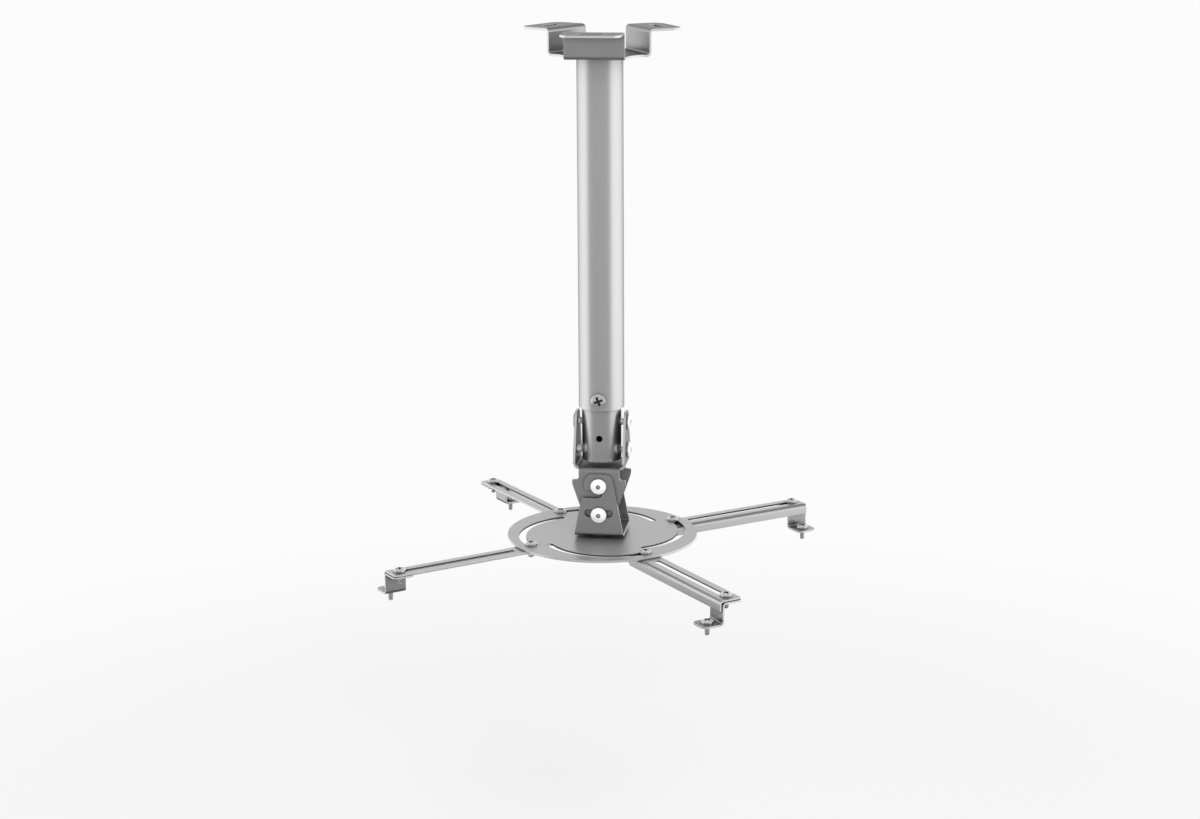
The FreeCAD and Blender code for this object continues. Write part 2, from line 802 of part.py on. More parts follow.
def foot():
    """Z foot: flange under the arm, web inside its bent side, tab with the device screw."""
    tab_top = foot_under + arm_sheet
    profile = rounded_outline([
        (foot_top_side, foot_top, 0),
        (-foot_web_side, foot_top, arm_bend_outside),
        (-foot_web_side, tab_top, bend_inside),
        (-foot_tab_side, tab_top, 0),
        (-foot_tab_side, foot_under, 0),
        (arm_sheet - foot_web_side, foot_under, arm_bend_outside),
        (arm_sheet - foot_web_side, foot_top - arm_sheet, bend_inside),
        (foot_top_side, foot_top - arm_sheet, 0),
    ])
    body = stand(plate(profile, foot_width), V(end_screw_out - foot_width / 2, 0, 0),
                 V(0, 1, 0), V(0, 0, 1))
    body = rounded_edges(body, foot_tab_corner_radius, lambda at, way: (
        abs(way.z) > ALONG and at.y < NEAR - foot_tab_side))
    body = rounded_edges(body, foot_top_corner_radius, lambda at, way: (
        abs(way.z) > ALONG and at.y > foot_top_side - NEAR))
    reach = arm_sheet + 2 * CUT_PAST
    end_hole = disc_solid(m4_radius + running_gap, reach,
                          V(end_screw_out, 0, foot_top - arm_sheet - CUT_PAST))
    device_hole = disc_solid(m4_radius + running_gap, reach,
                             V(end_screw_out, -device_screw_side, foot_under - CUT_PAST))
    return body.cut([end_hole, device_hole])


def end_screw():
    """Screw down through the arm's slot, threaded into the foot's upper flange."""
    screw = pan_screw(m4_radius, m4_length, pan_head_radius, pan_head_height)
    screw.translate(V(end_screw_out, 0, arm_top + slip_gap))
    return screw


def device_screw():
    """Screw down through the foot's tab into the device, with a thinner neck in the tab."""
    screw = pan_screw(m4_radius, m4_length, pan_head_radius, pan_head_height)
    neck = arm_sheet + m4_neck_below_tab
    screw = screw.cut(washer(m4_radius + CUT_PAST, m4_neck_radius, -neck, neck))
    screw.translate(V(end_screw_out, -device_screw_side, foot_under + arm_sheet))
    return screw


def disc_screw_place(slot_number, back):
    """Where a disc screw stands, a few degrees back along its spiral slot."""
    from_centre = math.radians(-back)
    here = V(disc_slot_offset + disc_slot_radius * math.cos(from_centre),
             disc_slot_radius * math.sin(from_centre), 0)
    turn = FreeCAD.Rotation(V(0, 0, 1), slot_end_angle + slot_number * slot_spacing_angle)
    return turn.multVec(here)


def on_arm(shape, place):
    """Move a piece drawn from the disc screw along +X to its arm."""
    slot_number, back, direction = place
    moved = turned(shape, direction)
    moved.translate(disc_screw_place(slot_number, back))
    return moved


def save(name, shape):
    path = os.path.join(PARTS_FOLDER, name + ".step")
    shape.exportStep(path)
    print(name, "solids", len(shape.Solids), "valid", shape.isValid(), "volume", round(shape.Volume, 1))


def mount_nodes():
    nodes = {
        "ceiling_bracket": ceiling_bracket(),
        "outer_tube": outer_tube(),
        "lock_screw": lock_screw(),
        "inner_tube": inner_tube(),
        "side_nuts": side_nuts(),
        "cross_yoke": cross_yoke(),
        "roll_nuts": roll_nuts(),
        "lower_u_bracket": lower_u_bracket(),
        "swivel_bolt": swivel_bolt(),
        "swivel_spacer": swivel_spacer(),
        "swivel_washer": swivel_washer(),
        "swivel_nut": swivel_nut(),
        "disc": disc(),
    }
    for side, sign in (("left", -1), ("right", 1)):
        nodes["tilt_pivot_screw_" + side] = side_screw(sign, tilt_z)
        nodes["tilt_lock_screw_" + side] = side_screw(sign, side_lock_z)
    for side, sign in (("front", -1), ("rear", 1)):
        nodes["hook_screw_" + side] = roll_screw(sign, hook_z)
        nodes["roll_lock_screw_" + side] = roll_screw(sign, roll_lock_z)
    pieces = {
        "disc_screw": disc_screw(), "disc_screw_nut": disc_screw_nut(), "arm": arm(),
        "foot": foot(), "end_screw": end_screw(), "device_screw": device_screw(),
    }
    for corner, place in arm_places.items():
        for name, shape in pieces.items():
            nodes[name + "_" + corner] = on_arm(shape, place)
    return nodes


os.makedirs(PARTS_FOLDER, exist_ok=True)
for node, solid in mount_nodes().items():
    save(node, solid)
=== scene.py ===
# %% [markdown]
# # A telescoping ceiling mount, dressed for its portrait
# The mount is folded steel sheet and tube under a satin silver coat, held together by bright
# zinc screws. Its CAD model is already true to size. This lesson adds what CAD leaves out:
# rolled edges that catch the light, real threads, a weld bead, the grain of the coat, and a
# small studio. Everything is in metres, in the CAD model's own frame, with +Z up.

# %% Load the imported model
import json
import math

import bpy
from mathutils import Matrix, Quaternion, Vector

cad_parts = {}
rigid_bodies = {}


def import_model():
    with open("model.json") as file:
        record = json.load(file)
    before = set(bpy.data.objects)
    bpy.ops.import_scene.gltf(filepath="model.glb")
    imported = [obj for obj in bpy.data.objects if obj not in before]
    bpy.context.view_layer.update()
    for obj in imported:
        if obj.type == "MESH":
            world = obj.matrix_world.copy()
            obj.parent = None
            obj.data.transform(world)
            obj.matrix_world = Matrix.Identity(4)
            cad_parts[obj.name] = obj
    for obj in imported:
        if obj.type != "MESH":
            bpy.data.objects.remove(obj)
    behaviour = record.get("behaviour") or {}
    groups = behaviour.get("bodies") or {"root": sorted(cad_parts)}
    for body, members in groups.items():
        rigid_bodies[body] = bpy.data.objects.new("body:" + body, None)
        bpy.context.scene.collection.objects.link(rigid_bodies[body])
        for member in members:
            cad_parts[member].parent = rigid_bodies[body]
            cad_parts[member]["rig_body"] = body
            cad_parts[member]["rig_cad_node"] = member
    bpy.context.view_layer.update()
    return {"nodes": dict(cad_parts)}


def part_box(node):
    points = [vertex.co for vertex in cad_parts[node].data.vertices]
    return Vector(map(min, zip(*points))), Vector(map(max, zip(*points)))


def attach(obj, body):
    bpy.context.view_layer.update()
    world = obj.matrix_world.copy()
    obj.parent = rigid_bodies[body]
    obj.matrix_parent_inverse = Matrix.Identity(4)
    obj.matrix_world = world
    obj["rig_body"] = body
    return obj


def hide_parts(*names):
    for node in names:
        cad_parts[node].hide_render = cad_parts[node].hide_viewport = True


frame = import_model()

MM = 0.001
UP = Vector((0, 0, 1))
nodes = frame["nodes"]
body_of_node = {name: node["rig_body"] for name, node in nodes.items()}

# %% [markdown]
# ## Building materials out of nodes
# A material is a small graph of nodes. Four helpers keep the recipes short: one adds a node and
# sets its options and plain values, one joins two nodes, one starts a node group with named
# inputs and outputs, and one places such a group. A group is an effect that is built once and
# placed in several materials, each with its own values.

# %% Helpers for nodes and groups
def add(tree, kind, values=None, **options):
    """Add a node, set its options, and then the plain values of its inputs."""
    node = tree.nodes.new(kind)
    for key, value in options.items():
        setattr(node, key, value)
    for socket, value in (values or {}).items():
        node.inputs[socket].default_value = value
    return node


def link(source, output, node, socket):
    source.id_data.links.new(source.outputs[output], node.inputs[socket])


def node_group(name, inputs, outputs):
    group = bpy.data.node_groups.new(name, "ShaderNodeTree")
    for title, value in inputs:
        socket = group.interface.new_socket(title, in_out="INPUT", socket_type="NodeSocketFloat")
        socket.default_value = value
    for title in outputs:
        group.interface.new_socket(title, in_out="OUTPUT", socket_type="NodeSocketFloat")
    return group, group.nodes.new("NodeGroupInput"), group.nodes.new("NodeGroupOutput")


def place_group(tree, group, **values):
    return add(tree, "ShaderNodeGroup", values, node_tree=group)


# %% [markdown]
# ## The grain of a finish
# A powder coat is sprayed as dust and baked. It levels to a faint orange peel about a
# millimetre across, single flakes in it are lighter or darker, and its tone drifts slowly over
# a hand's breadth. Zinc plate has the same three layers at other sizes. So one group gives
# back a height, a speckle and a soft cloud, read from object coordinates in metres.

# %% Node group: grain
grain, grain_in, grain_out = node_group(
    "finish_grain", [("Peel", 900.0), ("Flake", 2600.0), ("Cloud", 14.0)], ["Height", "Speckle", "Drift"])
place = add(grain, "ShaderNodeTexCoord")
peel = add(grain, "ShaderNodeTexNoise", {"Detail": 2.0})
flake = add(grain, "ShaderNodeTexVoronoi")
cloud = add(grain, "ShaderNodeTexNoise", {"Detail": 3.0})
flake_value = add(grain, "ShaderNodeSeparateColor")
for texture, size in ((peel, "Peel"), (flake, "Flake"), (cloud, "Cloud")):
    link(place, "Object", texture, "Vector")
    link(grain_in, size, texture, "Scale")
link(flake, "Color", flake_value, "Color")
link(peel, "Fac", grain_out, "Height")
link(flake_value, "Red", grain_out, "Speckle")
link(cloud, "Fac", grain_out, "Drift")
print(grain.name, "has", len(grain.nodes), "nodes")

# %% [markdown]
# ## Painted shade in the crevices
# Where two sheets lie close together, less light reaches them. A node that feels for nearby
# surfaces turns that into a mask, with which every finish is darkened over the last few
# millimetres towards a neighbour. That darkening is painted shade.

# %% Node group: painted crevice shade
DEEPEST_AT = 0.2
CLEAR_AT = 0.95

crevice, crevice_in, crevice_out = node_group("painted_crevice_shade", [("Reach", 0.004), ("Depth", 0.6)], ["Keep"])
feel = add(crevice, "ShaderNodeAmbientOcclusion", samples=12)
least = add(crevice, "ShaderNodeMath", {0: 1.0}, operation="SUBTRACT")
keep = add(crevice, "ShaderNodeMapRange", {"From Min": DEEPEST_AT, "From Max": CLEAR_AT})
link(crevice_in, "Reach", feel, "Distance")
link(crevice_in, "Depth", least, 1)
link(feel, "AO", keep, "Value")
link(least, "Value", keep, "To Min")
link(keep, "Result", crevice_out, "Keep")
print(crevice.name, "has", len(crevice.nodes), "nodes")

# %% [markdown]
# ## Wear along the edges
# Powder draws back from a sharp edge while it melts, and handling rubs what is left, so edges
# are a shade lighter and smoother than the faces beside them. The same feeling node, turned
# to look inwards, finds the places where the metal is thin, and noise breaks the line up.

# %% Node group: edge wear
WEAR_FROM, WORN_AT = 0.92, 0.55
RUBS_PER_METRE = 160.0
PATCH_FROM, PATCH_TO = 0.35, 0.65

wear, wear_in, wear_out = node_group("edge_wear", [("Width", 0.0008), ("Amount", 0.6)], ["Worn"])
inward = add(wear, "ShaderNodeAmbientOcclusion", samples=4, inside=True)
thin = add(wear, "ShaderNodeMapRange", {"From Min": WEAR_FROM, "From Max": WORN_AT})
place = add(wear, "ShaderNodeTexCoord")
rubs = add(wear, "ShaderNodeTexNoise", {"Scale": RUBS_PER_METRE, "Detail": 2.0})
patches = add(wear, "ShaderNodeMapRange", {"From Min": PATCH_FROM, "From Max": PATCH_TO})
broken = add(wear, "ShaderNodeMath", operation="MULTIPLY")
scaled = add(wear, "ShaderNodeMath", operation="MULTIPLY")
link(wear_in, "Width", inward, "Distance")
link(inward, "AO", thin, "Value")
link(place, "Object", rubs, "Vector")
link(rubs, "Fac", patches, "Value")
link(thin, "Result", broken, 0)
link(patches, "Result", broken, 1)
link(broken, "Value", scaled, 0)
link(wear_in, "Amount", scaled, 1)
link(scaled, "Value", wear_out, "Worn")
print(wear.name, "has", len(wear.nodes), "nodes")

# %% [markdown]
# ## Mixing one finish from its parts
# Every finish on the mount is made the same way: a dark and a light shade mixed by the grain,
# darkened by painted shade in the crevices, lightened where the edges are worn, with a roughness
# that follows the speckle and a shallow bump from the peel. What differs is the numbers. One of
# them holds back the glare that metal has when it is seen at a glance along its face.

# %% Helpers for colours, and the common recipe
SPECKLE_SHARE = 0.2
DARK_AT, LIGHT_AT = 0.3, 0.95
PEEL_RISE = 0.05 * MM


def grey(value):
    return (value, value, value, 1)


def mix_colour(tree, kind, **values):
    return add(tree, "ShaderNodeMix", values, data_type="RGBA", blend_type=kind)


def finish_material(name, dark, light, metallic, rough, bump, sizes, shade=(4 * MM, 0.75), worn=None,
                    at_a_glance=1.0):
    """Sizes count peel, flake and cloud per metre. Shade is a reach and a depth, worn a width, an
    amount and a colour."""
    material = bpy.data.materials.new(name)
    material.use_nodes = True
    tree = material.node_tree
    shader = tree.nodes["Principled BSDF"]
    shader.inputs["Metallic"].default_value = metallic
    shader.inputs["Specular Tint"].default_value = grey(at_a_glance)

    texture = place_group(tree, grain, Peel=sizes[0], Flake=sizes[1], Cloud=sizes[2])
    tone = add(tree, "ShaderNodeMath", {1: SPECKLE_SHARE}, operation="MULTIPLY_ADD")
    spread = add(tree, "ShaderNodeMapRange", {"From Min": DARK_AT, "From Max": LIGHT_AT})
    colour = mix_colour(tree, "MIX", A=dark, B=light)
    link(texture, "Speckle", tone, 0)
    link(texture, "Drift", tone, 2)
    link(tone, "Value", spread, "Value")
    link(spread, "Result", colour, "Factor")

    # Painted shade: the crevice mask multiplies the colour darker near other surfaces.
    nook = place_group(tree, crevice, Reach=shade[0], Depth=shade[1])
    last = mix_colour(tree, "MULTIPLY", Factor=1.0)
    link(colour, "Result", last, "A")
    link(nook, "Keep", last, "B")
    if worn:
        shaded = last
        rubbed = place_group(tree, wear, Width=worn[0], Amount=worn[1])
        last = mix_colour(tree, "MIX", B=worn[2])
        link(rubbed, "Worn", last, "Factor")
        link(shaded, "Result", last, "A")
    link(last, "Result", shader, "Base Color")

    gloss = add(tree, "ShaderNodeMapRange", {"To Min": rough[0], "To Max": rough[1]})
    relief = add(tree, "ShaderNodeBump", {"Strength": bump, "Distance": PEEL_RISE})
    link(texture, "Speckle", gloss, "Value")
    link(gloss, "Result", shader, "Roughness")
    link(texture, "Height", relief, "Height")
    link(relief, "Normal", shader, "Normal")
    print("finish:", name)
    return material


# %% [markdown]
# ## The silver coats
# One coat covers all the sheet and tube, and each part gets its own copy of it, painted lighter
# or darker for the light that falls on it: the tubes are paler, the folded sheets are deeper, and
# the arms are lighter than the feet, whose deeper tone is painted shade. The disc is duller. Metal
# flake makes it mirror broad lights softly. The pole's painted shade reaches far, because the
# bracket above it and the ears beside it keep light off it, and sheets only darken in nooks.

# %% Materials: the coats
COAT_SIZES = (900.0, 2600.0, 14.0)
NOOK = (8 * MM, 0.8)
EDGE_WEAR = (0.8 * MM, 0.35, grey(0.72))


def coat(name, dark, light, rough=(0.28, 0.32), metallic=0.93, bump=0.05, shade=NOOK, worn=EDGE_WEAR,
         at_a_glance=1.0):
    return finish_material(name, grey(dark), grey(light), metallic, rough, bump, COAT_SIZES, shade, worn,
                           at_a_glance)


# Painted light and shade: each copy's tone is set for how light falls on that part.
sheet_coat = coat("silver_coat_on_sheet", 0.51, 0.55, shade=(8 * MM, 0.9), at_a_glance=0.4)
disc_coat = coat("silver_coat_on_disc", 0.62, 0.66, rough=(0.36, 0.40), metallic=0.8,
                 shade=(4 * MM, 0.6))
arm_coat = coat("silver_coat_on_arms", 0.60, 0.65)
shaded_foot_coat = coat("silver_coat_on_feet_painted_shade", 0.46, 0.50)
outer_tube_coat = coat("silver_coat_on_pole", 0.725, 0.75, rough=(0.32, 0.36), bump=0.025,
                       shade=(60 * MM, 0.6), worn=None, at_a_glance=0.3)
inner_tube_coat = coat("silver_coat_on_inner_pole", 0.63, 0.655, rough=(0.32, 0.36), bump=0.025,
                       shade=(40 * MM, 0.6), worn=None)

# %% [markdown]
# ## Cut edges, and the walls of slots
# The sheet is cut before it is coated. Outer cut edges get a paler, less metallic coat: a painted
# highlight, which draws the fine light outline round every sheet. The walls of a narrow slot get
# a near-black coat, which is painted shade.

# %% Materials: cut edges and slot walls
# Painted highlight: the pale coat on outer cut edges.
edge_highlight_coat = coat("painted_highlight_on_cut_edges", 0.73, 0.77, rough=(0.28, 0.34), metallic=0.7,
                 shade=(4 * MM, 0.8), worn=None)
# Painted shade: the near-black coat on the walls of slots.
slot_wall_shade = coat("painted_shade_in_slots", 0.06, 0.10, rough=(0.45, 0.55), metallic=0.6,
                 shade=(4 * MM, 0.75), worn=None)

# %% [markdown]
# ## Bright zinc, and the dark inside a driver recess
# Screws and nuts are zinc plated. The large button heads came out nearly white. Their collars,
# the sides of the pan and button heads and the floor of each socket get a steel grey that mirrors
# what lies round them and is also painted shade. The pan screws and the nuts lie in between, and
# the pole's lock screw is the greyest of these. All have faint clouds where the bath ran off, and
# painted shade at the root of every thread. Deep inside a recess the finish is dull and nearly
# black: painted shade.

# %% Materials: zinc
ZINC_SIZES = (2200.0, 5200.0, 320.0)
ROOT = (0.8 * MM, 0.9)


def plating(name, dark, light, metallic, rough, shade=ROOT, bump=0.08):
    return finish_material(name, dark, light, metallic, rough, bump, ZINC_SIZES, shade)


zinc = plating("bright_zinc", (0.84, 0.87, 0.91, 1), grey(0.95), 0.55, (0.14, 0.24))
white_zinc = plating("white_zinc", (0.90, 0.92, 0.95, 1), grey(0.97), 0.10, (0.20, 0.30), (0.8 * MM, 0.7))
# Painted shade on a mirroring metal: the grey steel of head sides and socket floors.
shaded_steel_zinc = plating("steel_grey_zinc_painted_shade", (0.62, 0.65, 0.68, 1), grey(0.74), 0.95, (0.12, 0.20))
lock_zinc = plating("pale_steel_zinc", (0.72, 0.74, 0.77, 1), grey(0.84), 0.8, (0.14, 0.22))
# Painted shade: the near-black finish inside a driver recess.
recess_shade_zinc = plating("painted_shade_in_recess", (0.03, 0.035, 0.035, 1), (0.08, 0.09, 0.09, 1), 0.5,
                    (0.35, 0.55), (1.5 * MM, 0.9), 0.15)

# %% [markdown]
# ## Bare steel inside the tubes
# Powder hardly reaches down a tube, so its bore keeps the dark scale of the rolling mill.

# %% Material: bore
bore_steel = finish_material("bare_bore_steel", (0.02, 0.02, 0.022, 1), (0.07, 0.065, 0.06, 1),
                             metallic=0.3, rough=(0.6, 0.75), bump=0.1, sizes=(300.0, 900.0, 60.0))

# %% [markdown]
# ## Taking up one piece at a time
# An operator acts on whatever is selected, and the loader leaves every CAD node selected. So
# each step first drops the selection and takes up only its own piece. A modifier that has
# done its work is applied, which leaves a plain mesh to go on with.

# %% Select one piece, edit it, apply modifiers
def take_up(piece):
    bpy.ops.object.select_all(action="DESELECT")
    piece.select_set(True)
    bpy.context.view_layer.objects.active = piece


def edit_all(piece):
    take_up(piece)
    bpy.ops.object.mode_set(mode="EDIT")
    bpy.ops.mesh.select_all(action="SELECT")


def leave_edit():
    bpy.ops.object.mode_set(mode="OBJECT")


def edit_vertices_where(piece, test):
    """Go into edit mode with only the vertices selected whose place passes a test."""
    edit_all(piece)
    bpy.ops.mesh.select_mode(type="VERT")
    bpy.ops.mesh.select_all(action="DESELECT")
    leave_edit()
    for vertex in piece.data.vertices:
        vertex.select = test(vertex.co)
    bpy.ops.object.mode_set(mode="EDIT")


def apply_modifier(piece, kind, **settings):
    take_up(piece)
    modifier = piece.modifiers.new(kind.lower(), kind)
    for key, value in settings.items():
        setattr(modifier, key, value)
    bpy.ops.object.modifier_apply(modifier=modifier.name)


# %% [markdown]
# ## A primitive to start from
# Every new piece starts as one of Blender's primitives, added at its size and place. Its
# place is then moved into its mesh, so that the object itself sits unturned at the origin:
# patterns on object coordinates stay put that way, also when the piece is exported.

# %% Start a piece, and move its place into its mesh
def place_into_mesh(piece):
    take_up(piece)
    bpy.ops.object.transform_apply(location=True, rotation=True, scale=True)


def start_piece(name, add_primitive, stretch=(1, 1, 1), **settings):
    bpy.ops.object.select_all(action="DESELECT")
    add_primitive(**settings)
    piece = bpy.context.object
    piece.name = name
    piece.scale = stretch
    place_into_mesh(piece)
    return piece


# %% [markdown]
# ## Rolled edges
# Sheet that has been punched and coated has no knife edges. The coat draws back and leaves a
# radius of a few tenths of a millimetre, and that radius is the fine line that runs along
# every edge in a photograph. So a copy of each CAD solid is merged into one surface, its flat
# faces are cleared of spare edges, and a bevel rounds only the sharp ones. The bends stay as
# they are, because their facets meet at less than the angle that counts as sharp.

# %% Round the sharp edges of a copy of a CAD solid
SHARP = math.radians(32)
FLAT = math.radians(0.2)
MERGE = 0.001 * MM


def rounded_copy(name, edge, finish):
    cad = nodes[name]
    piece = cad.copy()
    piece.data = cad.data.copy()
    piece.parent = None
    piece.name = name + "_rounded"
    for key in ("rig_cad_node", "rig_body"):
        if key in piece:
            del piece[key]
    bpy.context.scene.collection.objects.link(piece)
    take_up(piece)
    bpy.ops.mesh.customdata_custom_splitnormals_clear()
    edit_all(piece)
    bpy.ops.mesh.remove_doubles(threshold=MERGE)
    bpy.ops.mesh.dissolve_limited(angle_limit=FLAT)
    leave_edit()
    apply_modifier(piece, "BEVEL", width=edge, segments=2, limit_method="ANGLE",
                   angle_limit=SHARP, use_clamp_overlap=True)
    take_up(piece)
    bpy.ops.object.shade_smooth_by_angle(angle=SHARP)
    apply_modifier(piece, "WEIGHTED_NORMAL", keep_sharp=True)
    piece.data.materials.clear()
    piece.data.materials.append(finish)
    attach(piece, body_of_node[name])
    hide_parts(name)
    return piece


# %% [markdown]
# ## Telling a cut edge from a face
# Behind a sheet's face there is only the sheet's thickness of metal, and behind a cut edge
# there is much more. So a ray is sent inwards from every polygon. Where it goes far before it
# comes out, the polygon was cut. A second ray, sent outwards, meets the other wall when the
# cut is a slot. The middle of a polygon that bends round a hole may lie over the hole, so the
# rays start from the middle of its largest triangle.

# %% Give cut edges their painted highlight and slot walls their painted shade
THROUGH_A_FACE = 1.7
SLOT_SPAN = 9 * MM
START_OFF = 0.01 * MM
FACE, OUTER_EDGE, SLOT_WALL = 0, 1, 2


def finish_cuts(piece, sheet):
    mesh = piece.data
    mesh.materials.append(edge_highlight_coat)
    mesh.materials.append(slot_wall_shade)
    mesh.calc_loop_triangles()
    largest = {}
    for triangle in mesh.loop_triangles:
        rival = largest.get(triangle.polygon_index)
        if rival is None or triangle.area > rival.area:
            largest[triangle.polygon_index] = triangle
    counts = [0, 0, 0]
    for face in mesh.polygons:
        out = face.normal
        middle = Vector(largest[face.index].center)
        hit, place, normal, index = piece.ray_cast(middle - out * START_OFF, -out)
        if hit and (place - middle).length < THROUGH_A_FACE * sheet:
            kind = FACE
        elif piece.ray_cast(middle + out * START_OFF, out, distance=SLOT_SPAN)[0]:
            kind = SLOT_WALL
        else:
            kind = OUTER_EDGE
        face.material_index = kind
        counts[kind] += 1
    print(piece.name, "faces, outer edges, slot walls:", counts)


# %% [markdown]
# ## The folded sheets and the disc
# The ceiling bracket, the cross yoke and the U bracket are punched from 2 mm sheet and folded,
# and the disc is the same sheet left flat. Each becomes a rounded copy with its cuts picked out.

# %% Round the folded sheets and the disc
CORNERS = ("front_right", "rear_right", "rear_left", "front_left")
SHEET = 2 * MM
SHEET_EDGE = 0.35 * MM

for name in ("ceiling_bracket", "cross_yoke", "lower_u_bracket"):
    finish_cuts(rounded_copy(name, SHEET_EDGE, sheet_coat), SHEET)
finish_cuts(rounded_copy("disc", SHEET_EDGE, disc_coat), SHEET)

# %% [markdown]
# ## The arms and the feet
# These are thinner, 1.5 mm, and so is the roll of their edges. The spacer on the swivel bolt is
# a turned ring with nothing punched in it, so it only gets its edges rounded.

# %% Round the arms and the feet
THIN_SHEET = 1.5 * MM
THIN_EDGE = 0.28 * MM

rounded_copy("swivel_spacer", THIN_EDGE, sheet_coat)
for corner in CORNERS:
    for part, finish in (("arm_", arm_coat), ("foot_", shaded_foot_coat)):
        finish_cuts(rounded_copy(part + corner, THIN_EDGE, finish), THIN_SHEET)

# %% [markdown]
# ## The pole, and its bare bore
# The two tubes get the paler coat outside. Their bore takes the bare steel: these are the
# faces that lie at the bore's radius and look at the axis, and they are picked out by that.

# %% Round the tubes and give the bore its finish
TUBE_WALL = 1.8 * MM
BORE_SLOT = 1


def faces_the_axis(face, bore):
    """Whether a face lies within 0.1 mm of the bore and turns more towards the axis than past it."""
    outward = Vector((face.center.x, face.center.y, 0))
    return outward.length < bore + 0.1 * MM and face.normal.dot(outward) < -0.5 * outward.length


for name, finish in (("outer_tube", outer_tube_coat), ("inner_tube", inner_tube_coat)):
    tube = rounded_copy(name, THIN_EDGE, finish)
    tube.data.materials.append(bore_steel)
    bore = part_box(name)[1].x - TUBE_WALL
    inner_faces = [face for face in tube.data.polygons if faces_the_axis(face, bore)]
    for face in inner_faces:
        face.material_index = BORE_SLOT
    print(name, "bore faces:", len(inner_faces))

# %% [markdown]
# ## Nuts and the washer
# Pressed nuts have tighter corners than punched sheet, so they get a finer radius. Their
# holes stay smooth, because each is filled by its screw.

# %% Round the nuts and the washer
NUT_EDGE = 0.15 * MM

nut_names = ["side_nuts", "roll_nuts", "swivel_nut", "swivel_washer"]
nut_names += ["disc_screw_nut_" + corner for corner in CORNERS]
for name in nut_names:
    rounded_copy(name, NUT_EDGE, zinc)
print("nuts and washers:", len(nut_names))

# %% [markdown]
# ## The weld under the bracket
# The pole is welded to the bracket's middle, under the coat. A bead is a ring whose surface
# rises and falls where the welder moved on. A torus gives the ring, every fourth section of
# it is pushed outwards for the ripple, and the half that would stand in the sheet is cut off.

# %% Model the weld bead
BEAD_SECTIONS = 120
BEAD_RADIUS = 1.1 * MM
RIPPLE = 0.12 * MM
pole_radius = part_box("outer_tube")[1].x
pole_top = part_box("outer_tube")[1].z

bead = start_piece("pole_weld_bead", bpy.ops.mesh.primitive_torus_add, major_segments=BEAD_SECTIONS,
                   minor_segments=12, major_radius=pole_radius, minor_radius=BEAD_RADIUS,
                   location=(0, 0, pole_top))
section = 2 * math.pi / BEAD_SECTIONS
edit_vertices_where(bead, lambda co: round(math.atan2(co.y, co.x) / section) % 4 == 0)
bpy.ops.transform.shrink_fatten(value=RIPPLE)
bpy.ops.mesh.select_all(action="SELECT")
bpy.ops.mesh.bisect(plane_co=(0, 0, pole_top), plane_no=(0, 0, 1), clear_outer=True)
leave_edit()
bead.data.shade_smooth()
bead.data.materials.append(outer_tube_coat)
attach(bead, body_of_node["outer_tube"])
print("weld bead faces:", len(bead.data.polygons))

# %% [markdown]
# ## Turning a profile
# The CAD screws have smooth shanks, which is all that collision needs, but seen close up a
# screw is its thread. So each kind is modelled anew, once, upright with its seat at the
# origin. Heads and cores are turned parts. A tiny plane is merged into a single vertex, that
# vertex is extruded along the profile, and the line is spun once round the axis.

# %% Spin a line of points round the z axis
HEAD_STEPS = 48
SHANK_STEPS = 24


def turned(name, profile, steps):
    radius, height = profile[0]
    piece = start_piece(name, bpy.ops.mesh.primitive_plane_add, size=MM, location=(radius, 0, height))
    edit_all(piece)
    bpy.ops.mesh.merge(type="CENTER")
    for (r0, z0), (r1, z1) in zip(profile, profile[1:]):
        bpy.ops.mesh.extrude_region_move(TRANSFORM_OT_translate={"value": (r1 - r0, 0, z1 - z0)})
    bpy.ops.mesh.select_all(action="SELECT")
    bpy.ops.mesh.spin(steps=steps, angle=2 * math.pi, center=(0, 0, 0), axis=(0, 0, 1))
    bpy.ops.mesh.select_all(action="SELECT")
    bpy.ops.mesh.remove_doubles(threshold=MERGE)
    bpy.ops.mesh.normals_make_consistent(inside=False)
    leave_edit()
    return piece


def dome_profile(radius, low, high, rim, steps=7):
    """The outline of a domed head, from the top of its rim to its crown on the axis."""
    rise = high - low - rim
    sphere = (radius ** 2 + rise ** 2) / (2 * rise)
    widest = math.asin(radius / sphere)
    points = []
    for i in range(steps + 1):
        angle = widest * (1 - i / steps)
        points.append((sphere * math.sin(angle), high - sphere + sphere * math.cos(angle)))
    return points


# %% [markdown]
# ## Winding a thread
# A thread is a ridge wound round a core. An upright plane, as wide as the ridge is deep,
# stands beside the axis. Its outer edge is drawn together into the crest, and the Screw
# modifier winds its outline up the shank. The two open ends are then closed. The ridge's root
# is sunk a little in the core, so that no gap shows between them.

# %% Wind a ridge up a shank
THREAD_STEPS = 20
DEPTH_TO_PITCH = 0.55
ROOT_TO_PITCH = 0.84
CREST_SHARE = 0.14
SUNK = 1.15
SCREW_SHARP = math.radians(38)


